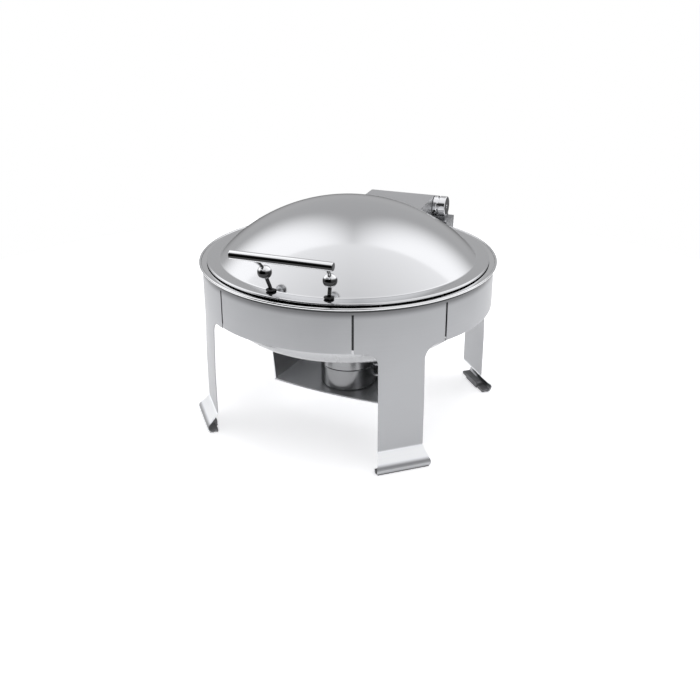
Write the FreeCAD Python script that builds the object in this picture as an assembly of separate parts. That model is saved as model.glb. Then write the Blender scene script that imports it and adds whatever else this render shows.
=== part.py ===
import FreeCAD, Part
import os
from math import cos, degrees, radians, sin, sqrt

# Round roll top chafer.  Millimetres, +Z up, floor at z = 0, vessel axis on the Z axis.
# Front (handle side) is -Y and the lid hinge is at +Y.

V = FreeCAD.Vector
UP = V(0, 0, 1)

os.makedirs("parts", exist_ok=True)

# ---------------------------------------------------------------- overall levels
RIM_Z = 253.0            # underside of the rim plate is 1 mm below this level
SHEET = 1.0              # vessel and lid sheet
STAND_SHEET = 1.5        # skirt panels and legs
STAND_TURN = -6.4        # the stand sits turned by this much under the vessel, degrees

# ---------------------------------------------------------------- stand
SKIRT_R = 225.3
SKIRT_LOW = RIM_Z - 67.0
HOOP_TOP = RIM_Z - 1.0
SLIT_TOP = RIM_Z - 8.0
HOOP_INNER = 221.8
ARM_ANGLE = 18.2         # from a leg's centre to the middle of a slit, degrees
SLIT = 3.2
LEG_HALF = 35.3
TOE_HALF = 41.8
LEG_FILLET = 20.0
LEG_ANGLES = {"front_left": -136.3, "front_right": -43.7, "rear_right": 44.4, "rear_left": 135.6}
BANDS = {"front": (-136.3, -43.7), "right": (-43.7, 44.4), "rear": (44.4, 135.6), "left": (135.6, 223.7)}

# ---------------------------------------------------------------- burner shelf
SHELF_Z = 40.0
SHELF_HALF_X = 109.0
SHELF_LEAN = 8.0         # how far each end wall leans out at its top
SHELF_FRONT = -47.5      # at the ends; the front edge bows out to SHELF_NOSE in the middle
SHELF_NOSE = -56.0
SHELF_BACK = 47.0
SHELF_WALL_TOP = 128.0
SHELF_SHEET = 1.2

# ---------------------------------------------------------------- fuel holder
CUP_R = 44.0
CUP_LOW = SHELF_Z + 0.3
CUP_TOP = 76.0
COVER_R = 45.0
COVER_LOW = 76.8
COVER_TOP = 99.5
FLAME_R = 22.0
SHUTTER_R = 26.0
PIN_X = -32.5

# ---------------------------------------------------------------- vessel
PAN_R = 198.0
PAN_CORNER = 50.0
PAN_LOW = RIM_Z - 110.0
RIM_R = 230.0
RIM_PLATE_TOP = RIM_Z + 1.2
BEAD = 2.0
FOOD_LOW = RIM_Z - 61.0
FOOD_FLANGE_R = 211.0

# ---------------------------------------------------------------- lid
DOME_R = 276.5
DOME_TOP = RIM_Z + 90.0
DOME_CENTRE = DOME_TOP - DOME_R
DOME_ANGLE = 45.5
DOME_FILLET = 6.0
FLANGE_TOP = DOME_TOP - (DOME_R - SHEET / 2 + DOME_FILLET) * (1 - cos(radians(DOME_ANGLE)))
LID_R = 218.0

# ---------------------------------------------------------------- hinge
AXIS_Y = 225.0
AXIS_Z = RIM_Z + 29.0
BARREL_R = 17.0
ARM_LEFT = -38.5
ARM_RIGHT = 75.5
ARM_SHEET = 2.0
SHAFT_R = 4.0
BASE_LEFT = -49.0
BASE_RIGHT = 106.0
BASE_REAR = 243.0
BASE_TOP = RIM_Z + 10.0
BASE_LOW = RIM_Z - 12.0

# ---------------------------------------------------------------- handle
BAR_Y = -256.0
BAR_Z = RIM_Z + 75.6
BAR_R = 6.2
BAR_HALF = 74.0
BALL = V(48.5, -203.5, RIM_Z + 36.0)
BALL_R = 10.3
POST_R = 2.75
POST_FOOT = V(43.6, -195.5, FLANGE_TOP)


def save(name, shape):
    shape.exportStep("parts/" + name + ".step")


def compound(shapes):
    return Part.makeCompound(shapes)


def turned(shape, angle):
    copy = shape.copy()
    copy.rotate(V(0, 0, 0), UP, angle)
    return copy


def mirrored(shape):
    return shape.mirror(V(0, 0, 0), V(1, 0, 0))


def box(x0, x1, y0, y1, z0, z1):
    return Part.makeBox(x1 - x0, y1 - y0, z1 - z0, V(x0, y0, z0))


def rod(radius, start, end):
    return Part.makeCylinder(radius, (end - start).Length, start, end - start)


def rod_x(radius, x0, x1, y=AXIS_Y, z=AXIS_Z):
    return rod(radius, V(x0, y, z), V(x1, y, z))


def disc(radius, z0, z1, x=0.0, y=0.0):
    return rod(radius, V(x, y, z0), V(x, y, z1))


def tube(outer, inner, z0, z1, x=0.0, y=0.0):
    return disc(outer, z0, z1, x, y).cut(disc(inner, z0 - 1, z1 + 1, x, y))


def polygon(points):
    return Part.Face(Part.makePolygon(points + [points[0]]))


def spin(face, start=0.0, sweep=360.0):
    """Revolve a face drawn in the XZ plane about the Z axis."""
    solid = face.revolve(V(0, 0, 0), UP, sweep)
    return turned(solid, start)


def sheet_face(start, heading, moves, thickness):
    """Section of a bent sheet in the XZ plane, from the path of its middle line.

    A move is ("line", length) or ("arc", radius, turn); a positive turn is anticlockwise.
    """
    half = thickness / 2.0
    x, z = start
    angle = radians(heading)
    sides = {1: [], -1: []}
    ends = []
    for move in moves:
        nx, nz = -sin(angle), cos(angle)
        ends.append({side: V(x + side * half * nx, 0, z + side * half * nz) for side in sides})
        if move[0] == "line":
            x += move[1] * cos(angle)
            z += move[1] * sin(angle)
            for side in sides:
                tip = V(x + side * half * nx, 0, z + side * half * nz)
                sides[side].append(Part.makeLine(ends[-1][side], tip))
        else:
            radius, turn = move[1], radians(move[2])
            bend = 1 if turn > 0 else -1
            cx, cz = x + bend * radius * nx, z + bend * radius * nz
            for side in sides:
                reach = radius - side * bend * half
                points = []
                for part in (0.0, 0.5, 1.0):
                    a = angle + part * turn
                    points.append(V(cx + bend * reach * sin(a), 0, cz - bend * reach * cos(a)))
                sides[side].append(Part.Arc(*points).toShape())
            angle += turn
            x, z = cx + bend * radius * sin(angle), cz - bend * radius * cos(angle)
    nx, nz = -sin(angle), cos(angle)
    last = {side: V(x + side * half * nx, 0, z + side * half * nz) for side in sides}
    caps = [Part.makeLine(ends[0][1], ends[0][-1]), Part.makeLine(last[1], last[-1])]
    edges = sides[1] + sides[-1] + caps
    return Part.Face(Part.Wire(Part.__sortEdges__(edges)))


def swept(points, radius):
    """Round bar along a smooth curve through the points."""
    curve = Part.BSplineCurve()
    curve.interpolate(points)
    edge = curve.toShape()
    direction = edge.tangentAt(edge.FirstParameter)
    ring = Part.Wire([Part.makeCircle(radius, points[0], direction)])
    return Part.Wire([edge]).makePipeShell([ring], True, True)


def rounded(shape, radius, test):
    """Fillet the edges for which test(edge) is true."""
    edges = [edge for edge in shape.Edges if test(edge)]
    return shape.makeFillet(radius, edges)


def circle_edge(z, radius):
    def test(edge):
        curve = edge.Curve
        if not isinstance(curve, Part.Circle):
            return False
        return abs(curve.Radius - radius) < 0.01 and abs(curve.Center.z - z) < 0.01
    return test


def largest(shape):
    return max(shape.Solids, key=lambda solid: solid.Volume)


def hex_prism(across, height, z, x=0.0, y=0.0):
    corner = across / sqrt(3)
    points = [V(x + corner * cos(radians(60 * i)), y + corner * sin(radians(60 * i)), z)
              for i in range(6)]
    return polygon(points).extrude(V(0, 0, height))


# ================================================================ stand
def stand_hoop():
    """Continuous top hoop with a thinner strip behind the skirt panels."""
    strip_outer = SKIRT_R - STAND_SHEET
    points = [V(HOOP_INNER, 0, HOOP_TOP), V(SKIRT_R - 0.8, 0, HOOP_TOP), V(SKIRT_R, 0, HOOP_TOP - 0.8),
              V(SKIRT_R, 0, SLIT_TOP), V(strip_outer, 0, SLIT_TOP), V(strip_outer, 0, SKIRT_LOW + 6),
              V(HOOP_INNER, 0, SKIRT_LOW + 6)]
    return spin(polygon(points))


def leg_foot_face():
    """Leg strip, outward bend and curled toe, drawn with the radius along X."""
    radius = SKIRT_R - STAND_SHEET / 2 - 0.9
    moves = [("line", 68.4), ("arc", 5.0, 45.0), ("line", 18.8), ("arc", 7.5, -175.0)]
    return sheet_face((radius, 99.0), -90.0, moves, STAND_SHEET)


def toe_outline():
    """Outline of the leg strip seen from outside, widening to the toe, in the YZ plane."""
    x = 150.0
    sides = []
    for side in (-1, 1):
        sides += [Part.makeLine(V(x, side * LEG_HALF, 100.0), V(x, side * LEG_HALF, 31.0)),
                  Part.Arc(V(x, side * LEG_HALF, 31.0), V(x, side * (LEG_HALF + 2.6), 21.5),
                           V(x, side * TOE_HALF, 11.5)).toShape(),
                  Part.makeLine(V(x, side * TOE_HALF, 11.5), V(x, side * TOE_HALF, -1.0))]
    ends = [Part.makeLine(V(x, -LEG_HALF, 100.0), V(x, LEG_HALF, 100.0)),
            Part.makeLine(V(x, -TOE_HALF, -1.0), V(x, TOE_HALF, -1.0))]
    return Part.Face(Part.Wire(Part.__sortEdges__(sides + ends)))


def tee_outline():
    """Front view of the upper leg, in the XZ plane: arms, inner fillets, top of the strip."""
    arm = SKIRT_R * sin(radians(ARM_ANGLE)) + 20
    low = SKIRT_LOW - LEG_FILLET
    quarter = LEG_FILLET * (1 - sqrt(0.5))
    right = [Part.makeLine(V(arm, 0, SLIT_TOP), V(arm, 0, SKIRT_LOW)),
             Part.makeLine(V(arm, 0, SKIRT_LOW), V(LEG_HALF + LEG_FILLET, 0, SKIRT_LOW)),
             Part.Arc(V(LEG_HALF + LEG_FILLET, 0, SKIRT_LOW),
                      V(LEG_HALF + quarter, 0, SKIRT_LOW - quarter),
                      V(LEG_HALF, 0, low)).toShape()]
    left = [edge.mirror(V(0, 0, 0), V(1, 0, 0)) for edge in right]
    top = Part.makeLine(V(-arm, 0, SLIT_TOP), V(arm, 0, SLIT_TOP))
    bottom = Part.makeLine(V(-LEG_HALF, 0, low), V(LEG_HALF, 0, low))
    return Part.Face(Part.Wire(Part.__sortEdges__(right + left + [top, bottom])))


def strip_section(radius, z, flatten):
    """Closed section of the leg strip; flatten 0 follows the skirt, 1 is a flat sheet."""
    def at(x, r):
        sag = r - sqrt(r * r - x * x)
        return V(x, -(r - sag * (1 - flatten) - 0.9 * flatten), z)
    outer, inner = radius, radius - STAND_SHEET
    edges = [Part.Arc(at(-LEG_HALF, outer), at(0, outer), at(LEG_HALF, outer)).toShape()
             if flatten == 0 else Part.makeLine(at(-LEG_HALF, outer), at(LEG_HALF, outer)),
             Part.makeLine(at(LEG_HALF, outer), at(LEG_HALF, inner)),
             Part.Arc(at(LEG_HALF, inner), at(0, inner), at(-LEG_HALF, inner)).toShape()
             if flatten == 0 else Part.makeLine(at(LEG_HALF, inner), at(-LEG_HALF, inner)),
             Part.makeLine(at(-LEG_HALF, inner), at(-LEG_HALF, outer))]
    return Part.Wire(edges)


def leg():
    """One leg panel, drawn facing -Y: tee top, flattening strip and curled foot."""
    low = SKIRT_LOW - LEG_FILLET
    shell = tube(SKIRT_R, SKIRT_R - STAND_SHEET, low, SLIT_TOP)
    outline = tee_outline().extrude(V(0, -SKIRT_R - 20, 0))
    half_slit = degrees(SLIT / 2 / SKIRT_R)
    reach = ARM_ANGLE - half_slit
    sector_points = [V(0, 0, low - 1)]
    for angle in (-90 - reach, -90.0, -90 + reach):
        sector_points.append(V(400 * cos(radians(angle)), 400 * sin(radians(angle)), low - 1))
    sector = polygon(sector_points).extrude(V(0, 0, 200))
    top = shell.common(outline).common(sector)
    blend = Part.makeLoft([strip_section(SKIRT_R, low, 0), strip_section(SKIRT_R, 99.0, 1)], True)
    foot = leg_foot_face()
    foot.translate(V(0, -TOE_HALF, 0))
    foot = foot.extrude(V(0, 2 * TOE_HALF, 0)).common(toe_outline().extrude(V(120, 0, 0)))
    foot.rotate(V(0, 0, 0), UP, -90)
    return top.fuse([blend, foot]).removeSplitter()


def band(start, end):
    """Skirt panel between the legs at two angles, with a small turned-in hem."""
    bend = 1.6
    radius = SKIRT_R - STAND_SHEET / 2
    height = SLIT_TOP - SKIRT_LOW
    moves = [("line", height - bend - STAND_SHEET / 2), ("arc", bend, -90.0), ("line", 2.0)]
    face = sheet_face((radius, SLIT_TOP), -90.0, moves, STAND_SHEET)
    margin = ARM_ANGLE + degrees(SLIT / 2 / SKIRT_R)
    return spin(face, start + margin, end - start - 2 * margin)


def hoop_studs(hoop):
    """Weld studs and nuts inside the hoop, two behind each leg and each skirt panel."""
    stud = hex_prism(7.0, 3.4, 0).fuse(disc(2.0, 0, 5.0))
    stud.rotate(V(0, 0, 0), V(0, 1, 0), -90)
    stud.translate(V(HOOP_INNER + 0.2, 0, (SLIT_TOP + SKIRT_LOW) / 2))
    stud = largest(stud.cut(hoop))
    centres = list(LEG_ANGLES.values()) + [(start + end) / 2 for start, end in BANDS.values()]
    return compound([turned(stud, centre + side) for centre in centres for side in (-9.0, 9.0)])


def foot_pads(one_leg):
    """Rubber strips clipped round the lips of the curled toes, each with a thicker middle."""
    strip = box(225.0, 238.0, -TOE_HALF + 1.5, TOE_HALF - 1.5, 0.0, 4.5)
    middle = box(222.5, 234.0, -20.0, 20.0, 0.0, 9.0)
    pad = largest(strip.fuse(middle).cut(turned(one_leg, 90.0)))
    return compound([turned(pad, centre) for centre in LEG_ANGLES.values()])


def wall_inside(z):
    """Half width inside the shelf's leaning end walls at height z."""
    return SHELF_HALF_X + SHELF_LEAN * (z - SHELF_Z) / (SHELF_WALL_TOP - SHELF_Z)


def burner_shelf():
    """Folded box that carries the fuel holder: bowed floor, leaning end walls, back wall, front hem."""
    s = SHELF_SHEET
    x = SHELF_HALF_X
    low = SHELF_Z - s
    bow = Part.Arc(V(-x - s, SHELF_FRONT, low), V(0, SHELF_NOSE, low), V(x + s, SHELF_FRONT, low))
    back = SHELF_BACK + s
    edges = [bow.toShape(), Part.makeLine(V(x + s, SHELF_FRONT, low), V(x + s, back, low)),
             Part.makeLine(V(x + s, back, low), V(-x - s, back, low)),
             Part.makeLine(V(-x - s, back, low), V(-x - s, SHELF_FRONT, low))]
    floor = Part.Face(Part.Wire(edges)).extrude(V(0, 0, s))
    bottom, top = wall_inside(low), wall_inside(SHELF_WALL_TOP)
    right = polygon([V(bottom, SHELF_FRONT, low), V(bottom + s, SHELF_FRONT, low),
                     V(top + s, SHELF_FRONT, SHELF_WALL_TOP), V(top, SHELF_FRONT, SHELF_WALL_TOP)])
    right = right.extrude(V(0, back - SHELF_FRONT, 0))
    rear = polygon([V(-bottom, SHELF_BACK, low), V(bottom, SHELF_BACK, low),
                    V(top, SHELF_BACK, SHELF_WALL_TOP), V(-top, SHELF_BACK, SHELF_WALL_TOP)])
    rear = rear.extrude(V(0, s, 0))
    line = bow.toShape()
    line.translate(V(0, 0, s - 1.7))
    ring = Part.Wire([Part.makeCircle(1.7, line.valueAt(line.FirstParameter),
                                      line.tangentAt(line.FirstParameter))])
    hem = Part.Wire([line]).makePipeShell([ring], True, True)
    return floor.fuse([right, mirrored(right), rear, hem]).removeSplitter()


BRACKET_LOW = 50.0
BRACKET_HIGH = 72.0
BRACKET_Y = -20.0


def shelf_bracket(leg_angle):
    """Bent bar from the shelf's right end wall to the front right leg."""
    inner = SKIRT_R - 0.9 - STAND_SHEET
    along = V(cos(radians(leg_angle)), sin(radians(leg_angle)), 0)
    across = V(-along.y, along.x, 0)
    foot = along * inner
    thick = 2.5
    low = wall_inside(BRACKET_LOW) + SHELF_SHEET
    high = wall_inside(BRACKET_HIGH) + SHELF_SHEET
    tab = polygon([V(low, BRACKET_Y - 14, BRACKET_LOW), V(high + thick, BRACKET_Y - 14, BRACKET_LOW),
                   V(high + thick, BRACKET_Y - 14, BRACKET_HIGH), V(high, BRACKET_Y - 14, BRACKET_HIGH)])
    tab = tab.extrude(V(0, 28, 0))
    start = V(high, BRACKET_Y - 14, 0)
    web = polygon([start, start + V(thick, 0, 0), foot + across * thick - along * 1.5, foot - along * 1.5])
    web = web.extrude(V(0, 0, BRACKET_HIGH - BRACKET_LOW))
    web.translate(V(0, 0, BRACKET_LOW))
    pad = box(inner - thick, inner, -16, 16, BRACKET_LOW, BRACKET_HIGH)
    return tab.fuse([web, turned(pad, leg_angle)]).removeSplitter()


def bracket_bolts():
    """Bolts through the bracket's tab into the shelf wall."""
    bolts = []
    z = (BRACKET_LOW + BRACKET_HIGH) / 2
    start = wall_inside(z)
    seat = wall_inside(BRACKET_HIGH) + SHELF_SHEET + 2.5
    for y in (BRACKET_Y - 8, BRACKET_Y + 8):
        shank = rod_x(2.0, start, seat, y, z)
        head = rod_x(3.8, seat, seat + 2.2, y, z)
        bolts.append(shank.fuse(head))
    return bolts


# ================================================================ fuel holder
def cup_body():
    outer = rounded(disc(CUP_R, CUP_LOW, CUP_TOP), 3.0, circle_edge(CUP_LOW, CUP_R))
    cup = outer.cut(disc(CUP_R - 1.2, CUP_LOW + 1.5, CUP_TOP + 1))
    rolled = Part.makeTorus(CUP_R - 0.2, 1.0, V(0, 0, CUP_TOP - 0.4))
    return cup.fuse(rolled).removeSplitter()


def cup_cover():
    """Cover that drops over the cup: side wall with a shoulder, and a plug ring inside the cup."""
    outer = rounded(disc(COVER_R, COVER_LOW, COVER_TOP), 2.5, circle_edge(COVER_TOP, COVER_R))
    cover = outer.cut(disc(COVER_R - 1.0, COVER_LOW - 1, COVER_TOP - 1.0))
    cover = cover.cut(disc(COVER_R - 4.5, COVER_TOP - 2, COVER_TOP + 1))
    plug = tube(CUP_R - 1.5, CUP_R - 2.5, CUP_TOP - 6, COVER_LOW + 3)
    joint = tube(COVER_R - 0.5, CUP_R - 2.0, COVER_LOW + 1.5, COVER_LOW + 3)
    return cover.fuse([plug, joint]).removeSplitter()


def cover_plate():
    """Ring plate under the cover's shoulder, with the flame hole."""
    plate = tube(COVER_R - 1.1, FLAME_R, COVER_TOP - 2.0, COVER_TOP - 1.0)
    return plate.cut(disc(2.0, COVER_TOP - 3, COVER_TOP, PIN_X))


def cup_handle():
    """Wire loop on the side of the cup."""
    low, high = CUP_LOW + 9, CUP_LOW + 28
    near, far, round_ = CUP_R - 0.3, CUP_R + 20, 5.0
    bend = round_ * (1 - sqrt(0.5))
    points = [V(near, 0, low), V(far - round_, 0, low)]
    edges = [Part.makeLine(*points),
             Part.Arc(points[1], V(far - bend, 0, low + bend), V(far, 0, low + round_)).toShape(),
             Part.makeLine(V(far, 0, low + round_), V(far, 0, high - round_)),
             Part.Arc(V(far, 0, high - round_), V(far - bend, 0, high - bend),
                      V(far - round_, 0, high)).toShape(),
             Part.makeLine(V(far - round_, 0, high), V(near, 0, high))]
    path = Part.Wire(edges)
    ring = Part.Wire([Part.makeCircle(2.0, points[0], V(1, 0, 0))])
    loop = path.makePipeShell([ring], True, True)
    return turned(loop, 22.0).cut(disc(CUP_R, CUP_LOW, CUP_TOP))


def shutter_pin():
    shank = disc(1.9, COVER_TOP - 2.0, COVER_TOP + 2.0, PIN_X)
    head = disc(4.0, COVER_TOP + 2.0, COVER_TOP + 3.6, PIN_X)
    stop = disc(3.2, COVER_TOP - 3.2, COVER_TOP - 2.0, PIN_X)
    return shank.fuse([head, stop]).removeSplitter()


def shutter_plate():
    """Snuffer plate that swings about the pin to open or close the flame hole."""
    low, high = COVER_TOP + 0.3, COVER_TOP + 1.8
    plate = disc(SHUTTER_R, low, high)
    ear = disc(6.0, low, high, PIN_X)
    bridge = box(PIN_X, -15, -6, 6, low, high)
    plate = plate.fuse([ear, bridge])
    return plate.cut(disc(1.95, low - 1, high + 1, PIN_X)).removeSplitter()


def shutter_knob():
    stem = disc(2.2, COVER_TOP + 1.8, COVER_TOP + 7, 12.0, -14.0)
    ball = Part.makeSphere(4.6, V(12.0, -14.0, COVER_TOP + 10))
    return stem.fuse(ball).removeSplitter()


# ================================================================ vessel
def water_pan():
    middle = SHEET / 2
    wall = (RIM_Z - 1.0 - middle - 2.0) - (PAN_LOW + middle + PAN_CORNER - middle)
    moves = [("line", PAN_R - PAN_CORNER), ("arc", PAN_CORNER - middle, 90.0), ("line", wall),
             ("arc", 2.0, -90.0), ("line", 8.0)]
    return spin(sheet_face((0.0, PAN_LOW + middle), 0.0, moves, SHEET))


def rim_ring():
    """Flat rim plate with a solid polished bead round its edge."""
    low = RIM_Z - 1.0
    centre = V(RIM_R - BEAD, 0, RIM_Z + 1.0)
    step = RIM_PLATE_TOP - centre.z
    meet = V(centre.x - sqrt(BEAD ** 2 - step ** 2), 0, RIM_PLATE_TOP)
    top = centre + V(0, 0, BEAD)
    edges = [Part.makeLine(V(197.0, 0, low), V(centre.x, 0, low)),
             Part.Arc(V(centre.x, 0, low), centre + V(BEAD, 0, 0), top).toShape(),
             Part.Arc(top, centre + V(-BEAD * sqrt(0.5), 0, BEAD * sqrt(0.5)), meet).toShape(),
             Part.makeLine(meet, V(197.0, 0, RIM_PLATE_TOP)),
             Part.makeLine(V(197.0, 0, RIM_PLATE_TOP), V(197.0, 0, low))]
    return spin(Part.Face(Part.Wire(edges)))


def food_pan():
    """Lift-in food pan whose flange lies on the rim plate."""
    lean = 84.0
    corner, lip = 24.0, 3.0
    level = RIM_PLATE_TOP + SHEET / 2
    bend_rise = (corner + lip) * (1 - cos(radians(lean)))
    wall = (level - (FOOD_LOW + SHEET / 2) - bend_rise) / sin(radians(lean))
    reach = 158.0 + (corner + lip) * sin(radians(lean)) + wall * cos(radians(lean))
    moves = [("line", 158.0), ("arc", corner, lean), ("line", wall), ("arc", lip, -lean),
             ("line", FOOD_FLANGE_R - reach)]
    return spin(sheet_face((0.0, FOOD_LOW + SHEET / 2), 0.0, moves, SHEET))


def hinge_base():
    """Block behind the rim that carries the lugs and the damper."""
    block = box(BASE_LEFT, BASE_RIGHT, 190, BASE_REAR, BASE_LOW, BASE_TOP)
    cradle = box(ARM_RIGHT + 1.3, 97.5, AXIS_Y - 12, AXIS_Y + 12, BASE_TOP - 1, BASE_TOP + 5)
    block = block.fuse(cradle)
    block = block.cut(disc(RIM_R, BASE_LOW - 1, RIM_Z + 1.0))
    block = block.cut(disc(220.5, BASE_LOW - 1, BASE_TOP + 6))
    block = block.cut(disc(RIM_R + 1.2, BASE_LOW - 1, RIM_Z - 1.0))
    block = block.cut(rim_ring())
    block = block.cut(rod_x(BARREL_R, ARM_RIGHT + 0.6, 97.5))
    for screw in base_screw_list():
        block = block.cut(screw)
    return largest(block)


BASE_SCREWS = (-43.0, -10.0, 46.0, 100.0)


def base_screw_list():
    """Countersunk screws from the block down into the rim plate."""
    screws = []
    for x in BASE_SCREWS:
        y = sqrt(225.0 ** 2 - x ** 2)
        head = Part.makeCone(2.0, 3.8, 2.2, V(x, y, BASE_TOP - 2.2))
        shank = disc(2.0, RIM_Z - 0.7, BASE_TOP - 2.2, x, y)
        screws.append(head.fuse(shank))
    return screws


LUGS = {"left": (-34.5, -29.5), "right": (66.5, 71.5)}


def hinge_lug(x0, x1):
    """Upright ear on the block that holds the hinge shaft."""
    eye = rod_x(12.0, x0, x1)
    stem = box(x0, x1, AXIS_Y - 6, AXIS_Y + 6, AXIS_Z - BARREL_R - 3, AXIS_Z)
    lug = eye.fuse(stem).cut(rod_x(SHAFT_R, x0 - 1, x1 + 1))
    return lug.removeSplitter().cut(hinge_base())


def hinge_shaft():
    bar = rod_x(SHAFT_R, ARM_LEFT - 2.0, 84.0)
    head = rod_x(7.0, ARM_LEFT - 4.4, ARM_LEFT - 0.9)
    return bar.fuse(head).removeSplitter()


def spring_sleeve():
    return rod_x(10.0, -29.5, 66.5).cut(rod_x(SHAFT_R + 3.0, -30, 67))


def damper_barrel():
    """Fixed damper housing outside the right-hand web, with a turned groove."""
    body = rod_x(BARREL_R, ARM_RIGHT + 0.8, 82.5)
    neck = rod_x(BARREL_R - 1.6, 82.5, 86.0)
    return body.fuse(neck).cut(rod_x(SHAFT_R, ARM_RIGHT, 84.0)).removeSplitter()


def damper_cap():
    cap = rod_x(BARREL_R, 86.0, 97.5)
    edge = [e for e in cap.Edges if isinstance(e.Curve, Part.Circle) and abs(e.Curve.Center.x - 97.5) < 0.01]
    return cap.makeFillet(1.2, edge).cut(rod_x(2.6, 96.5, 98))


def cap_screw():
    return rod_x(2.5, 96.5, 98.1)


# ================================================================ lid
def lid_dome():
    middle = DOME_R - SHEET / 2
    reach = (middle + DOME_FILLET) * sin(radians(DOME_ANGLE))
    edge = 2.0
    moves = [("arc", middle, -DOME_ANGLE), ("arc", DOME_FILLET, DOME_ANGLE),
             ("line", LID_R - SHEET / 2 - edge - reach), ("arc", edge, -90.0), ("line", 0.4)]
    dome = spin(sheet_face((0.0, DOME_TOP - SHEET / 2), 0.0, moves, SHEET))
    for bolt in arm_bolt_list():
        dome = dome.cut(bolt)
    return dome


def ball_cap(radius):
    return Part.makeSphere(radius, V(0, 0, DOME_CENTRE))


def hinge_arm():
    """Inverted channel from the dome to the hinge, rolled over the shaft at the rear."""
    inner_left, inner_right = ARM_LEFT + ARM_SHEET, ARM_RIGHT - ARM_SHEET
    top = AXIS_Z + BARREL_R
    inner_r = BARREL_R - ARM_SHEET
    outer = box(ARM_LEFT, ARM_RIGHT, 110, AXIS_Y, AXIS_Z - 12, top).fuse(rod_x(BARREL_R, ARM_LEFT, ARM_RIGHT))
    inside = rod_x(inner_r, inner_left, inner_right)
    channel = box(inner_left, inner_right, 90, AXIS_Y, AXIS_Z - BARREL_R - 1, top - ARM_SHEET)
    cut_z = AXIS_Z + BARREL_R * sin(radians(40))
    below = box(inner_left, inner_right, AXIS_Y, AXIS_Y + 30, AXIS_Z - 30, cut_z)
    arm = outer.cut(inside).cut(channel).cut(below).cut(ball_cap(DOME_R))
    for x in (ARM_LEFT, inner_right):
        arm = arm.cut(rod_x(5.5, x - 1, x + ARM_SHEET + 1))
    return largest(arm).removeSplitter()


SADDLE_FRONT = 163.0
SADDLE_REAR = 188.0
SADDLE_LOW = RIM_Z + 13.0


def dome_patch(inner, outer, x0, x1, y0, y1):
    shell = ball_cap(outer).cut(ball_cap(inner))
    return shell.common(box(x0, x1, y0, y1, SADDLE_LOW, DOME_TOP))


def arm_saddle():
    """Curved foot between the arm's webs, lying on the dome."""
    patch = dome_patch(DOME_R, DOME_R + 2.0, ARM_LEFT + ARM_SHEET, ARM_RIGHT - ARM_SHEET,
                       SADDLE_FRONT, SADDLE_REAR)
    for bolt in arm_bolt_list():
        patch = patch.cut(bolt)
    return patch


def backing_plate():
    """Curved plate inside the dome under the arm's foot."""
    patch = dome_patch(DOME_R - 3.0, DOME_R - 1.0, ARM_LEFT, ARM_RIGHT, SADDLE_FRONT, SADDLE_REAR - 2)
    for bolt in arm_bolt_list():
        patch = patch.cut(bolt)
    return patch


def arm_bolt_list():
    """Bolts through the dome, heads inside and nuts in the channel."""
    bolts = []
    for x in (-22.0, 4.0, 33.0, 59.0):
        y = 175.0 if abs(x) < 40 else 172.0
        flat = sqrt(x * x + y * y)
        lift = sqrt(DOME_R ** 2 - flat ** 2)
        normal = V(x / DOME_R, y / DOME_R, lift / DOME_R)
        at = V(0, 0, DOME_CENTRE)
        head = rod(4.5, at + normal * (DOME_R - 6.2), at + normal * (DOME_R - 3.0))
        shank = rod(2.4, at + normal * (DOME_R - 3.1), at + normal * (DOME_R + 6.2))
        nut = rod(4.4, at + normal * (DOME_R + 2.15), at + normal * (DOME_R + 5.4))
        bolts.append(head.fuse([shank, nut]).removeSplitter())
    return bolts


def hinge_bushes():
    bushes = []
    for x0, flange in ((ARM_LEFT, ARM_LEFT + ARM_SHEET), (ARM_RIGHT - ARM_SHEET, ARM_RIGHT - ARM_SHEET - 1.0)):
        body = rod_x(5.5, x0, x0 + ARM_SHEET)
        collar = rod_x(8.0, flange, flange + 1.0)
        bushes.append(body.fuse(collar).cut(rod_x(SHAFT_R + 0.05, x0 - 3, x0 + 5)).removeSplitter())
    return compound(bushes)


def lid_buffers():
    """Soft pads under the front and sides of the lid flange."""
    pads = []
    radius = 213.8
    for angle in (-90 - 85, -90 - 32, -90 + 32, -90 + 85):
        x, y = radius * cos(radians(angle)), radius * sin(radians(angle))
        pads.append(disc(1.6, RIM_PLATE_TOP + 0.1, FLANGE_TOP - SHEET, x, y))
    return compound(pads)


def post_solid():
    """Curved right-hand post from the lid flange through the ball into the bar."""
    points = [POST_FOOT - V(0.4, 0, 4), POST_FOOT + V(0.7, -0.6, 6), V(46.4, -199.2, RIM_Z + 22), BALL,
              V(50.2, -211.0, RIM_Z + 47.5), V(52.6, -225.5, RIM_Z + 59.5),
              V(55.0, -241.5, RIM_Z + 68.0), V(57.2, BAR_Y + 2, BAR_Z - 1.4)]
    return swept(points, POST_R)


def handle_post(post, dome):
    """Post trimmed to the lid flange at its foot and let into the bar at its head."""
    post = max(post.cut(dome).Solids, key=lambda solid: solid.BoundBox.ZMax)
    bar = rod(BAR_R, V(-BAR_HALF, BAR_Y, BAR_Z), V(BAR_HALF, BAR_Y, BAR_Z))
    core = rod(BAR_R - 2.6, V(-BAR_HALF, BAR_Y, BAR_Z), V(BAR_HALF, BAR_Y, BAR_Z))
    inside = post.common(bar)
    return post.cut(bar).fuse(inside.cut(core)).removeSplitter()


def handle_bar(posts):
    bar = rod(BAR_R, V(-BAR_HALF, BAR_Y, BAR_Z), V(BAR_HALF, BAR_Y, BAR_Z))
    bar = bar.makeFillet(1.2, [e for e in bar.Edges if isinstance(e.Curve, Part.Circle)])
    for post in posts:
        bar = bar.cut(post)
    return bar


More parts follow.
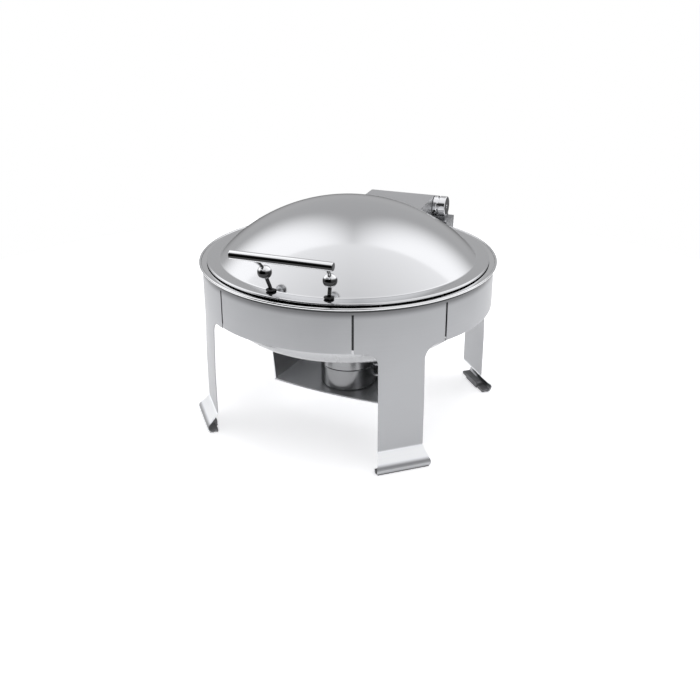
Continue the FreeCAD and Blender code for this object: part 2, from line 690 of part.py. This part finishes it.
# ================================================================ build
def main():
    stand = {"stand_hoop": stand_hoop()}
    one_leg = leg()
    for name, angle in LEG_ANGLES.items():
        stand["leg_" + name] = turned(one_leg, angle + 90.0)
    for name, span in BANDS.items():
        stand["skirt_" + name] = band(*span)
    stand["hoop_studs"] = hoop_studs(stand["stand_hoop"])
    stand["foot_pads"] = foot_pads(one_leg)
    shelf = burner_shelf()
    bolts = bracket_bolts()
    front_bracket = shelf_bracket(LEG_ANGLES["front_right"])
    rear_bracket = shelf_bracket(LEG_ANGLES["rear_left"] - 180.0)
    for bolt in bolts:
        shelf = shelf.cut(bolt).cut(turned(bolt, 180.0))
        front_bracket = front_bracket.cut(bolt)
        rear_bracket = rear_bracket.cut(bolt)
    stand["burner_shelf"] = shelf
    stand["shelf_bracket_front"] = front_bracket
    stand["shelf_bracket_rear"] = turned(rear_bracket, 180.0)
    stand["bracket_bolts"] = compound(bolts + [turned(bolt, 180.0) for bolt in bolts])
    stand["fuel_cup"] = cup_body()
    stand["cup_cover"] = cup_cover()
    stand["cover_plate"] = cover_plate()
    stand["cup_handle"] = cup_handle()
    stand["shutter_pin"] = shutter_pin()
    stand["shutter_plate"] = shutter_plate()
    stand["shutter_knob"] = shutter_knob()
    for name, shape in stand.items():
        save(name, turned(shape, STAND_TURN))

    save("water_pan", water_pan())
    rim = rim_ring()
    screws = base_screw_list()
    for screw in screws:
        rim = rim.cut(screw)
    save("rim_ring", rim)
    save("food_pan", food_pan())
    save("hinge_base", hinge_base())
    save("base_screws", compound(screws))
    for side, span in LUGS.items():
        save("hinge_lug_" + side, hinge_lug(*span))
    save("hinge_shaft", hinge_shaft())
    save("spring_sleeve", spring_sleeve())
    save("damper_barrel", damper_barrel())
    save("damper_cap", damper_cap())
    save("cap_screw", cap_screw())

    dome = lid_dome()
    save("lid_dome", dome)
    save("hinge_arm", hinge_arm())
    save("arm_saddle", arm_saddle())
    save("backing_plate", backing_plate())
    save("arm_bolts", compound(arm_bolt_list()))
    save("hinge_bushes", hinge_bushes())
    save("lid_buffers", lid_buffers())
    rough = post_solid()
    right = handle_post(rough, dome)
    left = mirrored(right)
    ball = Part.makeSphere(BALL_R, BALL).cut(rough)
    save("handle_post_right", right)
    save("handle_post_left", left)
    save("handle_ball_right", ball)
    save("handle_ball_left", mirrored(ball))
    save("handle_bar", handle_bar([right, left]))


main()
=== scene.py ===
import math

import bmesh
import bpy
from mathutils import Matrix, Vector


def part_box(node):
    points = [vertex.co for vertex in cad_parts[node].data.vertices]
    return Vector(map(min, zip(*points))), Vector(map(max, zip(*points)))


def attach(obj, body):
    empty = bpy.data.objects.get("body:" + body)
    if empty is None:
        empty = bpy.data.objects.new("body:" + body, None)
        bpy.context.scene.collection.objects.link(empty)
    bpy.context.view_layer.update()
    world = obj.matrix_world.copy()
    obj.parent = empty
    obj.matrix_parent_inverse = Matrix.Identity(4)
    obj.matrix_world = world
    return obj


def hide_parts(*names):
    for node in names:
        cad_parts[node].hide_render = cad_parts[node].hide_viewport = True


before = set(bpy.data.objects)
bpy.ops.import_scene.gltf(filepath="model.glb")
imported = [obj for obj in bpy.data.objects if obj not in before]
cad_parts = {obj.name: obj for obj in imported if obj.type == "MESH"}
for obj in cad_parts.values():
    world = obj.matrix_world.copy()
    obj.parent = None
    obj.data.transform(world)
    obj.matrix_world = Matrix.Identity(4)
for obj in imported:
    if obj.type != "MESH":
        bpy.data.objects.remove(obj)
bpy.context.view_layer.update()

# ---------------------------------------------------------------- camera and light (metres, degrees)
CAMERA_AZIMUTH = 20.0    # turned from the front towards +X
CAMERA_DISTANCE = 1.476  # horizontal distance from the object's axis
CAMERA_HEIGHT = 0.753    # above the floor
CAMERA_SIDE = 0.003      # small step to the camera's right
CAMERA_PITCH = 24.1      # looking down
CAMERA_LENS = 51.2

HOOP_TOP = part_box("stand_hoop")[1].z

FAR_GREY = 0.48          # radiance of the wall behind the object
SIDE_BRIGHT = 1.30       # radiance of that wall towards the sides and the top
CEILING_FAR = 1.02       # radiance of the ceiling, above the object and above the camera
CEILING_NEAR = 0.78
DARK_CORNER = 0.035      # what is left of the light in front and to the left
FLOOR_RADIUS = 1.08
FLOOR_COLOUR = (0.93, 0.93, 0.935, 1.0)
FLOOR_GLOW = 0.55        # keeps the white sweep white
METAL_RELIEF = 0.0004    # depth of the grain lines in the bump
RUBBER_RELIEF = 0.0003
REFLECTION_SHADE_BACK = 0.55        # how much the painted dark reflection darkens the chrome on the sides turned to the back


# ---------------------------------------------------------------- small helpers
class Nodes:
    """Short-hand for building one node tree."""

    def __init__(self, tree):
        self.tree = tree
        tree.nodes.clear()

    def add(self, kind, **settings):
        node = self.tree.nodes.new(kind)
        for key, value in settings.items():
            setattr(node, key, value)
        return node

    def join(self, source, target):
        self.tree.links.new(source, target)

    def math(self, operation, first, second=None, clamp=False):
        node = self.add("ShaderNodeMath", operation=operation, use_clamp=clamp)
        for socket, value in zip(node.inputs, (first, second)):
            if value is None:
                continue
            if isinstance(value, (int, float)):
                socket.default_value = value
            else:
                self.join(value, socket)
        return node.outputs[0]

    def span(self, value, low, high, out_low, out_high, smooth=False):
        node = self.add("ShaderNodeMapRange")
        if smooth:
            node.interpolation_type = "SMOOTHSTEP"
        self.join(value, node.inputs["Value"])
        node.inputs["From Min"].default_value = low
        node.inputs["From Max"].default_value = high
        node.inputs["To Min"].default_value = out_low
        node.inputs["To Max"].default_value = out_high
        return node.outputs["Result"]


def new_surface(name):
    """A material with an empty Principled shader, and where on the object each point lies."""
    material = bpy.data.materials.new(name)
    material.use_nodes = True
    n = Nodes(material.node_tree)
    out = n.add("ShaderNodeOutputMaterial")
    shader = n.add("ShaderNodeBsdfPrincipled")
    n.join(shader.outputs[0], out.inputs["Surface"])
    place = n.add("ShaderNodeTexCoord").outputs["Object"]
    return material, n, shader, place


def noise(n, place, scale, detail=2.0, roughness=0.5):
    node = n.add("ShaderNodeTexNoise")
    node.inputs["Scale"].default_value = scale
    node.inputs["Detail"].default_value = detail
    node.inputs["Roughness"].default_value = roughness
    n.join(place, node.inputs["Vector"])
    return node.outputs["Fac"]


def blend(n, factor, first, second):
    tone = n.add("ShaderNodeMix", data_type="RGBA")
    tone.inputs["A"].default_value = tuple(first) + (1.0,)
    tone.inputs["B"].default_value = tuple(second) + (1.0,)
    n.join(factor, tone.inputs["Factor"])
    return tone.outputs["Result"]


def scaled(n, colour, scale):
    node = n.add("ShaderNodeVectorMath", operation="SCALE")
    n.join(colour, node.inputs[0])
    n.join(scale, node.inputs["Scale"])
    return node.outputs[0]


def raise_surface(n, shader, height, strength, distance):
    relief = n.add("ShaderNodeBump")
    relief.inputs["Strength"].default_value = strength
    relief.inputs["Distance"].default_value = distance
    n.join(height, relief.inputs["Height"])
    n.join(relief.outputs["Normal"], shader.inputs["Normal"])


def multiplied(n, place, factors):
    node = n.add("ShaderNodeVectorMath", operation="MULTIPLY")
    n.join(place, node.inputs[0])
    node.inputs[1].default_value = factors
    return node.outputs[0]


def grain_lines(n, place, grain, scale):
    """Fine parallel lines, as a value of about 0.5 that varies across them."""
    if grain == "rings":
        reach = n.add("ShaderNodeVectorMath", operation="LENGTH")
        n.join(multiplied(n, place, (1.0, 1.0, 0.0)), reach.inputs[0])
        stretched = n.add("ShaderNodeCombineXYZ")
        n.join(n.math("MULTIPLY", reach.outputs["Value"], scale), stretched.inputs[0])
        lines_at = stretched.outputs[0]
    else:
        along = {"around": (6.0, 6.0, scale), "across": (4.0, scale, scale)}
        lines_at = multiplied(n, place, along[grain])
    return noise(n, lines_at, 1.0, 5.0, 0.65)


def hairline_scratches(n, place):
    """Thin stray scratches, 1 on a scratch and 0 elsewhere."""
    hair_at = n.add("ShaderNodeMapping")
    hair_at.inputs["Rotation"].default_value = (0.4, 0.9, 0.6)
    hair_at.inputs["Scale"].default_value = (30.0, 900.0, 900.0)
    n.join(place, hair_at.inputs["Vector"])
    return n.span(noise(n, hair_at.outputs[0], 1.0), 0.68, 0.76, 0.0, 1.0)


def painted_dark_reflection(n, cloud, reflection_shade):
    """Painted dark reflection: a colour scale that falls to the given depth on the level-facing front sides
    and less at the back.
    """
    facing = n.add("ShaderNodeSeparateXYZ")
    n.join(n.add("ShaderNodeTexCoord").outputs["Normal"], facing.inputs[0])
    level = n.math("ADD", facing.outputs["Z"], n.math("MULTIPLY", cloud, 0.1))
    not_up = n.span(level, 0.36, 0.62, 1.0, 0.0, smooth=True)
    not_down = n.span(level, -0.60, -0.40, 0.0, 1.0, smooth=True)
    depth = n.span(facing.outputs["Y"], 0.15, 0.60, 1.0 - reflection_shade, REFLECTION_SHADE_BACK, smooth=True)
    return n.math("SUBTRACT", 1.0, n.math("MULTIPLY", n.math("MULTIPLY", not_up, not_down), depth))


def metal(name, colour, rough, grain="around", grain_scale=1800.0, grain_mark=0.05, smudge=0.05,
          bump=0.02, reflection_shade=1.0, fades=()):
    """Stainless steel with fine grain lines, faint smudges and hairline scratches.

    grain is the way the lines run: around the Z axis, in rings about it, or across along X.
    A reflection depth below 1 paints a dark reflection on the faces that look neither up nor down.
    A fade is (low, high, tone_low, tone_high): the colour is scaled along the height in metres, which paints
    shade and highlights.
    """
    material, n, shader, place = new_surface(name)
    shader.inputs["Metallic"].default_value = 1.0
    lines = grain_lines(n, place, grain, grain_scale)
    cloud = noise(n, place, 14.0, 4.0)
    scratch = hairline_scratches(n, place)

    dull = [c * (1 - grain_mark) for c in colour]
    bright = [min(1.0, c * (1 + grain_mark)) for c in colour]
    tone = blend(n, lines, dull, bright)
    if reflection_shade < 1.0:
        tone = scaled(n, tone, painted_dark_reflection(n, cloud, reflection_shade))
    if fades:
        height = n.add("ShaderNodeSeparateXYZ")
        n.join(place, height.inputs[0])
        for low, high, tone_low, tone_high in fades:
            fade = n.span(height.outputs["Z"], low, high, tone_low, tone_high, smooth=True)
            tone = scaled(n, tone, fade)
    n.join(tone, shader.inputs["Base Color"])

    roughness = n.span(cloud, 0.35, 0.7, rough, rough + smudge)
    roughness = n.math("ADD", roughness, n.math("MULTIPLY", scratch, 0.05))
    roughness = n.math("ADD", roughness, n.math("MULTIPLY", lines, grain_mark))
    n.join(roughness, shader.inputs["Roughness"])
    height = n.math("SUBTRACT", lines, n.math("MULTIPLY", scratch, 0.4))
    raise_surface(n, shader, height, bump, METAL_RELIEF)
    return material


def rubber(name, colour):
    """Matt rubber with a fine speckled skin and lighter dusty patches."""
    material, n, shader, place = new_surface(name)
    speck = noise(n, place, 900.0, 6.0)
    dust = noise(n, place, 45.0)
    n.join(blend(n, dust, colour, [c * 1.9 for c in colour]), shader.inputs["Base Color"])
    n.join(n.span(speck, 0.3, 0.7, 0.62, 0.85), shader.inputs["Roughness"])
    raise_surface(n, shader, speck, 0.25, RUBBER_RELIEF)
    return material


# ---------------------------------------------------------------- materials
# fades of the stand's steel along the height, painted shade and painted highlights: see metal()
# painted shade on the steel just under the rim bead, darkest right below it
PAINTED_SHADE_UNDER_RIM = ((HOOP_TOP - 0.0150, HOOP_TOP - 0.0045, 1.0, 0.48),
             (HOOP_TOP - 0.0042, HOOP_TOP - 0.0030, 1.0, 0.30))
# near-black painted shade on the hoop below where the slits show it
PAINTED_SHADE_BEHIND_SLITS = (HOOP_TOP - 0.0074, HOOP_TOP - 0.0068, 0.10, 1.0)
# the feet: a painted highlight on the toe plate, a painted shadow band under it and a painted highlight on
# the curled lip
TOE_PLATE_PAINTED_HIGHLIGHT = (0.028, 0.033, 2.55, 1.0)
TOE_SHADOW = (0.0120, 0.0175, 0.27, 1.0)
TOE_LIP_PAINTED_HIGHLIGHT = (0.0075, 0.0100, 1.7, 1.0)

# skirt and legs carry the painted shade under the rim and the painted light and shade of the feet
SKIRT = metal("brushed_skirt", (0.385, 0.39, 0.40), 0.30, "around", 1500.0, 0.06, 0.05, 0.05,
              fades=PAINTED_SHADE_UNDER_RIM + (TOE_PLATE_PAINTED_HIGHLIGHT, TOE_SHADOW, TOE_LIP_PAINTED_HIGHLIGHT))
# the hoop carries the painted shade under the rim and the painted shade behind the slits
HOOP = metal("shaded_hoop", (0.385, 0.39, 0.40), 0.30, "around", 1500.0, 0.06, 0.05, 0.05,
             fades=PAINTED_SHADE_UNDER_RIM + (PAINTED_SHADE_BEHIND_SLITS,))
DOME = metal("polished_dome", (0.72, 0.725, 0.735), 0.09, "rings", 700.0, 0.012, 0.03, 0.003)
RIM = metal("polished_rim", (0.78, 0.785, 0.79), 0.07, "rings", 900.0, 0.006, 0.02, 0.001)
CHROME = metal("bright_chrome", (0.86, 0.865, 0.875), 0.03, "across", 900.0, 0.01, 0.02, 0.003)
# handle chrome with a painted dark reflection on its level-facing sides
CHROME_PAINTED_REFLECTION = metal("chrome_painted_reflection", (0.88, 0.885, 0.895), 0.05, "across", 900.0, 0.01, 0.02, 0.003, reflection_shade=0.05)
PAN = metal("satin_pan", (0.56, 0.565, 0.575), 0.22, "rings", 1200.0, 0.05, 0.05, 0.03)
SHELF = metal("shelf_sheet", (0.72, 0.725, 0.735), 0.36, "across", 1100.0, 0.05, 0.06, 0.02)
CUP = metal("fuel_holder", (0.33, 0.333, 0.34), 0.16, "around", 1300.0, 0.06, 0.06, 0.03)
PLAIN = metal("plain_steel", (0.36, 0.365, 0.375), 0.36, "around", 900.0, 0.08, 0.08, 0.05)
ARM = metal("hinge_sheet", (0.66, 0.665, 0.675), 0.34, "across", 1300.0, 0.05, 0.05, 0.04)
BLOCK = metal("hinge_block", (0.33, 0.335, 0.345), 0.30, "across", 1100.0, 0.05, 0.05, 0.04)
RUBBER = rubber("foot_rubber", (0.13, 0.13, 0.133))
# near-black ring colour at the post feet: painted shade and reflection of the posts on the flange
POST_FOOT_SHADE = rubber("post_foot_painted_shade", (0.012, 0.012, 0.013))

WEARS = {
    SKIRT: ["leg_front_right", "leg_front_left", "leg_rear_left", "leg_rear_right",
            "skirt_front", "skirt_right", "skirt_rear", "skirt_left"],
    HOOP: ["stand_hoop"],
    DOME: ["lid_dome"],
    RIM: ["rim_ring"],
    CHROME_PAINTED_REFLECTION: ["handle_bar", "handle_post_right", "handle_post_left", "handle_ball_right",
            "handle_ball_left"],
    CHROME: ["damper_barrel", "damper_cap", "cap_screw", "hinge_shaft",
             "base_screws", "arm_bolts", "cup_handle", "shutter_knob", "shutter_pin"],
    PAN: ["water_pan", "food_pan", "backing_plate"],
    SHELF: ["burner_shelf"],
    CUP: ["fuel_cup", "cup_cover", "cover_plate", "shutter_plate"],
    PLAIN: ["hoop_studs", "shelf_bracket_front", "shelf_bracket_rear", "bracket_bolts",
            "hinge_lug_left", "hinge_lug_right", "spring_sleeve", "hinge_bushes"],
    ARM: ["hinge_arm", "arm_saddle"],
    BLOCK: ["hinge_base"],
    RUBBER: ["foot_pads", "lid_buffers"],
}
for material, names in WEARS.items():
    for name in names:
        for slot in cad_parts[name].material_slots:
            slot.material = material


# ---------------------------------------------------------------- finely turned pieces
MM = 0.001


def sheet_outline(start, heading, moves, thickness):
    """Closed outline of a bent sheet, as (radius, height) points, along one face and back."""
    half = thickness / 2
    x, z = start
    angle = math.radians(heading)
    faces = {1: [], -1: []}

    def note():
        for side, points in faces.items():
            points.append((x - side * half * math.sin(angle), z + side * half * math.cos(angle)))

    note()
    for kind, size, *turn in moves:
        if kind == "line":
            x += size * math.cos(angle)
            z += size * math.sin(angle)
            note()
            continue
        total = math.radians(turn[0])
        steps = max(6, int(abs(turn[0]) * (1 + size / 40) / 3))
        step = total / steps
        bend = 1 if total > 0 else -1
        middle = (x - bend * size * math.sin(angle), z + bend * size * math.cos(angle))
        for _ in range(steps):
            angle += step
            x = middle[0] + bend * size * math.sin(angle)
            z = middle[1] - bend * size * math.cos(angle)
            note()
    return faces[1] + faces[-1][::-1]


def arc(centre, radius, start, end, steps):
    points = []
    for i in range(steps + 1):
        a = math.radians(start + (end - start) * i / steps)
        points.append((centre[0] + radius * math.cos(a), centre[1] + radius * math.sin(a)))
    return points


def turned(name, outline, segments=256, centre=(0.0, 0.0), along_x=None, on_axis=False):
    """Turn an outline of (radius, height) in mm about Z, or about a line along X at (y, z)."""
    shape = bmesh.new()
    rings = []
    for radius, height in outline:
        ring = []
        count = 1 if radius < 1e-6 else segments
        for i in range(count):
            a = 2 * math.pi * i / segments
            if along_x is None:
                place = (centre[0] + radius * math.cos(a), centre[1] + radius * math.sin(a), height)
            else:
                place = (height, along_x[0] + radius * math.cos(a), along_x[1] + radius * math.sin(a))
            ring.append(shape.verts.new(Vector(place) * MM))
        rings.append(ring)
    pairs = list(zip(rings, rings[1:]))
    if not on_axis:
        pairs.append((rings[-1], rings[0]))
    for low, high in pairs:
        for i in range(segments):
            j = (i + 1) % segments
            corners = [low[i % len(low)], low[j % len(low)], high[j % len(high)], high[i % len(high)]]
            corners = list(dict.fromkeys(corners))
            if len(corners) > 2:
                shape.faces.new(corners)
    bmesh.ops.recalc_face_normals(shape, faces=shape.faces)
    return finished(name, shape)


def finished(name, shape):
    """Turn a bmesh into a smooth-shaded object whose real corners stay crisp."""
    mesh = bpy.data.meshes.new(name)
    shape.to_mesh(mesh)
    shape.free()
    for face in mesh.polygons:
        face.use_smooth = True
    mesh.set_sharp_from_angle(angle=math.radians(32))
    piece = bpy.data.objects.new(name, mesh)
    bpy.context.scene.collection.objects.link(piece)
    return piece


def dress(piece, node, body, material):
    piece.data.materials.append(material)
    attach(piece, body)
    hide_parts(node)


def edge(node, axis, side):
    """One side of a node's box, in mm."""
    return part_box(node)[side][axis] / MM


SHEET = 1.0              # thickness of the lid and the pan, mm
HEM = 2.0                # bend radius at their outer edges


def build_lid():
    lid_top, lid_r = edge("lid_dome", 2, 1), edge("lid_dome", 0, 1)
    dome_r, cove, tilt = 276.0, 6.0, 45.5
    reach = (dome_r + cove) * math.sin(math.radians(tilt))
    flat = lid_r - SHEET / 2 - HEM - reach
    moves = [("arc", dome_r, -tilt), ("arc", cove, tilt), ("line", flat), ("arc", HEM, -90.0), ("line", 0.4)]
    outline = sheet_outline((0.0, lid_top - SHEET / 2), 0.0, moves, SHEET)
    lid = turned("lid_skin", outline, 320, on_axis=True)
    dress(lid, "lid_dome", "lid", DOME)


def build_rim():
    rim_low, rim_r = edge("rim_ring", 2, 0), edge("rim_ring", 0, 1)
    bead = 2.0
    inner = 197.0
    plate_top = rim_low + 2.2
    middle = (rim_r - bead, rim_low + bead)
    fillet = [(rim_r - 2 * bead - 0.9, plate_top), (rim_r - 2 * bead - 0.3, plate_top + 0.12)]
    rim_outline = [(inner, rim_low), (inner, plate_top - 0.3), (inner + 0.3, plate_top)] + fillet
    rim_outline += arc(middle, bead, 165.0, -90.0, 26)
    rim = turned("rim_skin", rim_outline, 720)
    dress(rim, "rim_ring", "vessel", RIM)


def build_water_pan():
    low, top = edge("water_pan", 2, 0), edge("water_pan", 2, 1)
    floor_r, corner, flange = 148.0, 50.0, 8.0
    wall = (top - SHEET / 2 - HEM) - (low + corner)
    moves = [("line", floor_r), ("arc", corner - SHEET / 2, 90.0), ("line", wall), ("arc", HEM, -90.0),
             ("line", flange)]
    outline = sheet_outline((0.0, low + SHEET / 2), 0.0, moves, SHEET)
    pan = turned("water_pan_skin", outline, 256, on_axis=True)
    dress(pan, "water_pan", "vessel", PAN)


def build_fuel_cup():
    """Fuel cup whose rolled lip stays below the cover, so that the seam shows as a dark line."""
    low, high = edge("fuel_cup", 2, 0), 76.0
    radius, wall, floor, corner, lip = 44.0, 1.2, 1.5, 3.0, 1.0
    outline = [(0.0, low), (radius - corner, low)]
    outline += arc((radius - corner, low + corner), corner, -80.0, 0.0, 8)
    outline += [(radius, high - 2.2)]
    outline += arc((radius - 0.7, high - 1.4), lip, -45.0, 225.0, 16)
    outline += [(radius - wall, high - 3.0), (radius - wall, low + floor), (0.0, low + floor)]
    cup = turned("fuel_cup_skin", outline, 128, on_axis=True)
    dress(cup, "fuel_cup", "fuel_holder", CUP)


def build_damper():
    """Damper barrel with a narrow neck, and its end cap with a recess for the screw."""
    low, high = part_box("damper_barrel")
    axis = (225.0, (low.z + high.z) / 2 / MM)
    start, cap_end = edge("damper_barrel", 0, 0), edge("damper_cap", 0, 1)
    groove, mouth = 82.5, 86.0
    radius, bore, neck = 17.0, 4.0, 14.2
    barrel = [(bore, start), (radius - 0.4, start), (radius, start + 0.4), (radius, groove - 0.5),
              (radius - 0.5, groove), (neck, groove), (neck, mouth), (bore, mouth)]
    piece = turned("damper_barrel_skin", barrel, 128, along_x=axis)
    dress(piece, "damper_barrel", "vessel", CHROME)

    rounding, recess = 1.2, 2.6
    face = [(0.0, mouth), (radius - 0.5, mouth), (radius, mouth + 0.5)]
    face += [(r, x) for x, r in arc((cap_end - rounding, radius - rounding), rounding, 90.0, 0.0, 8)]
    face += [(recess + 0.3, cap_end), (recess, cap_end - 0.3), (recess, cap_end - 1.0), (0.0, cap_end - 1.0)]
    cap = turned("damper_cap_skin", face, 128, along_x=axis, on_axis=True)
    dress(cap, "damper_cap", "vessel", CHROME)


def build_handle_bar():
    low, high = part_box("handle_bar")
    half, radius, rounding = high.x / MM, (high.y - low.y) / 2 / MM, 1.4
    axis = ((high.y + low.y) / 2 / MM, (high.z + low.z) / 2 / MM)
    outline = [(0.0, -half), (radius - rounding, -half)]
    outline += [(r, x) for x, r in arc((-half + rounding, radius - rounding), rounding, 165.0, 90.0, 6)]
    outline += [(r, x) for x, r in arc((half - rounding, radius - rounding), rounding, 90.0, 15.0, 6)]
    outline += [(radius - rounding, half), (0.0, half)]
    bar = turned("handle_bar_skin", outline, 96, along_x=axis, on_axis=True)
    dress(bar, "handle_bar", "lid", CHROME_PAINTED_REFLECTION)


def build_post_foot_shades():
    """Thin near-black ring round the foot of each handle post, painted shade and reflection of the posts on
    the flange. The CAD has no solid for these.
    """
    post, shade_r = 2.75, 7.4
    for side in ("right", "left"):
        low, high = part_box("handle_post_" + side)
        x = low.x / MM + post if side == "right" else high.x / MM - post
        seat = low.z / MM + 1.6
        outline = [(post + 0.1, seat), (shade_r - 0.4, seat), (shade_r, seat + 0.4),
                   (shade_r, seat + 1.0), (shade_r - 0.6, seat + 1.5), (post + 0.1, seat + 1.7)]
        foot_shade = turned("post_foot_shade_" + side, outline, 64, centre=(x, high.y / MM - post))
        foot_shade.data.materials.append(POST_FOOT_SHADE)
        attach(foot_shade, "lid")


build_lid()
build_rim()
build_water_pan()
build_fuel_cup()
build_damper()
build_handle_bar()
build_post_foot_shades()


# ---------------------------------------------------------------- floor: a round white sweep
def build_floor():
    mesh = bpy.data.meshes.new("floor")
    shape = bmesh.new()
    bmesh.ops.create_circle(shape, cap_ends=True, segments=160, radius=FLOOR_RADIUS)
    shape.to_mesh(mesh)
    shape.free()
    floor = bpy.data.objects.new("floor", mesh)
    bpy.context.scene.collection.objects.link(floor)
    material = bpy.data.materials.new("pale_floor")
    material.use_nodes = True
    shader = material.node_tree.nodes["Principled BSDF"]
    shader.inputs["Base Color"].default_value = FLOOR_COLOUR
    shader.inputs["Roughness"].default_value = 0.9
    shader.inputs["Specular IOR Level"].default_value = 0.1
    shader.inputs["Emission Color"].default_value = FLOOR_COLOUR
    shader.inputs["Emission Strength"].default_value = FLOOR_GLOW
    mesh.materials.append(material)


build_floor()


# ---------------------------------------------------------------- world: a soft white studio
def build_world():
    """White room: grey far wall, bright sides, soft ceiling and an unlit corner behind the camera."""
    world = bpy.data.worlds.new("studio")
    bpy.context.scene.world = world
    world.use_nodes = True
    n = Nodes(world.node_tree)
    out = n.add("ShaderNodeOutputWorld")
    direction = n.add("ShaderNodeTexCoord").outputs["Generated"]
    azimuth = math.radians(CAMERA_AZIMUTH)

    def reach(axis):
        dot = n.add("ShaderNodeVectorMath", operation="DOT_PRODUCT")
        n.join(direction, dot.inputs[0])
        dot.inputs[1].default_value = axis
        return dot.outputs["Value"]

    near = reach((math.sin(azimuth), -math.cos(azimuth), 0.0))
    right = reach((math.cos(azimuth), math.sin(azimuth), 0.0))
    up = reach((0.0, 0.0, 1.0))
    sideways = n.math("ABSOLUTE", n.math("SUBTRACT", right, 0.04))

    # far wall: grey low in the middle, bright towards the sides and the top
    spread = n.math("ADD", sideways, up)
    wall = n.span(spread, 0.70, 1.22, FAR_GREY, SIDE_BRIGHT, smooth=True)
    wall = n.math("MULTIPLY", wall, n.span(up, -0.15, 0.12, 0.72, 1.0, smooth=True))
    # ceiling: soft, fading towards the camera, a little brighter at the sides
    ceiling = n.span(near, -0.35, 0.45, CEILING_FAR, CEILING_NEAR)
    ceiling = n.math("ADD", ceiling, n.math("MULTIPLY", sideways, 0.14))
    over = n.span(near, -0.33, -0.30, 0.0, 1.0, smooth=True)
    light = n.math("ADD", n.math("MULTIPLY", wall, n.math("SUBTRACT", 1.0, over)),
                   n.math("MULTIPLY", ceiling, over))
    # the side walls end a little below the horizon
    light = n.math("MULTIPLY", light, n.span(up, -0.30, 0.0, 0.30, 1.0, smooth=True))
    # straight ahead and left of the photographer the room is dark up to about 45 degrees
    dark_side = n.span(near, 0.02, 0.34, 0.0, 1.0, smooth=True)
    dark_low = n.span(up, 0.60, 0.84, 1.0, 0.0, smooth=True)
    dark_left = n.span(right, 0.12, 0.46, 1.0, 0.0, smooth=True)
    shade = n.math("MULTIPLY", n.math("MULTIPLY", dark_side, dark_low), dark_left)
    light = n.math("MULTIPLY", light, n.span(shade, 0.0, 1.0, 1.0, DARK_CORNER))

    room = n.add("ShaderNodeBackground")
    tint = n.add("ShaderNodeCombineXYZ")
    n.join(light, tint.inputs[0])
    n.join(light, tint.inputs[1])
    n.join(n.math("MULTIPLY", light, 1.015), tint.inputs[2])
    n.join(tint.outputs[0], room.inputs["Color"])
    backdrop = n.add("ShaderNodeBackground")
    backdrop.inputs["Color"].default_value = (1.0, 1.0, 1.0, 1.0)
    seen = n.add("ShaderNodeLightPath").outputs["Is Camera Ray"]
    mix = n.add("ShaderNodeMixShader")
    n.join(seen, mix.inputs[0])
    n.join(room.outputs[0], mix.inputs[1])
    n.join(backdrop.outputs[0], mix.inputs[2])
    n.join(mix.outputs[0], out.inputs["Surface"])


build_world()


def area_light(name, place, target, size, power):
    data = bpy.data.lights.new(name, "AREA")
    data.shape = "RECTANGLE"
    data.size, data.size_y = size
    data.energy = power
    light = bpy.data.objects.new(name, data)
    bpy.context.scene.collection.objects.link(light)
    light.location = place
    light.visible_glossy = False
    light.rotation_euler = (Vector(target) - Vector(place)).to_track_quat("-Z", "Y").to_euler()
    return light


area_light("ceiling_soft", (0.0, 0.0, 3.2), (0, 0, 0.2), (2.4, 2.4), 12.0)


# ---------------------------------------------------------------- camera
def build_camera():
    data = bpy.data.cameras.new("camera")
    data.lens = CAMERA_LENS
    data.sensor_width = 36.0
    data.clip_end = 200.0
    camera = bpy.data.objects.new("camera", data)
    bpy.context.scene.collection.objects.link(camera)
    azimuth = math.radians(CAMERA_AZIMUTH)
    right = Vector((math.cos(azimuth), math.sin(azimuth), 0.0))
    back = Vector((math.sin(azimuth), -math.cos(azimuth), 0.0))
    camera.location = back * CAMERA_DISTANCE + right * CAMERA_SIDE + Vector((0, 0, CAMERA_HEIGHT))
    camera.rotation_euler = (math.radians(90 - CAMERA_PITCH), 0.0, azimuth)
    bpy.context.scene.camera = camera


build_camera()
bpy.context.scene.view_settings.view_transform = "Standard"
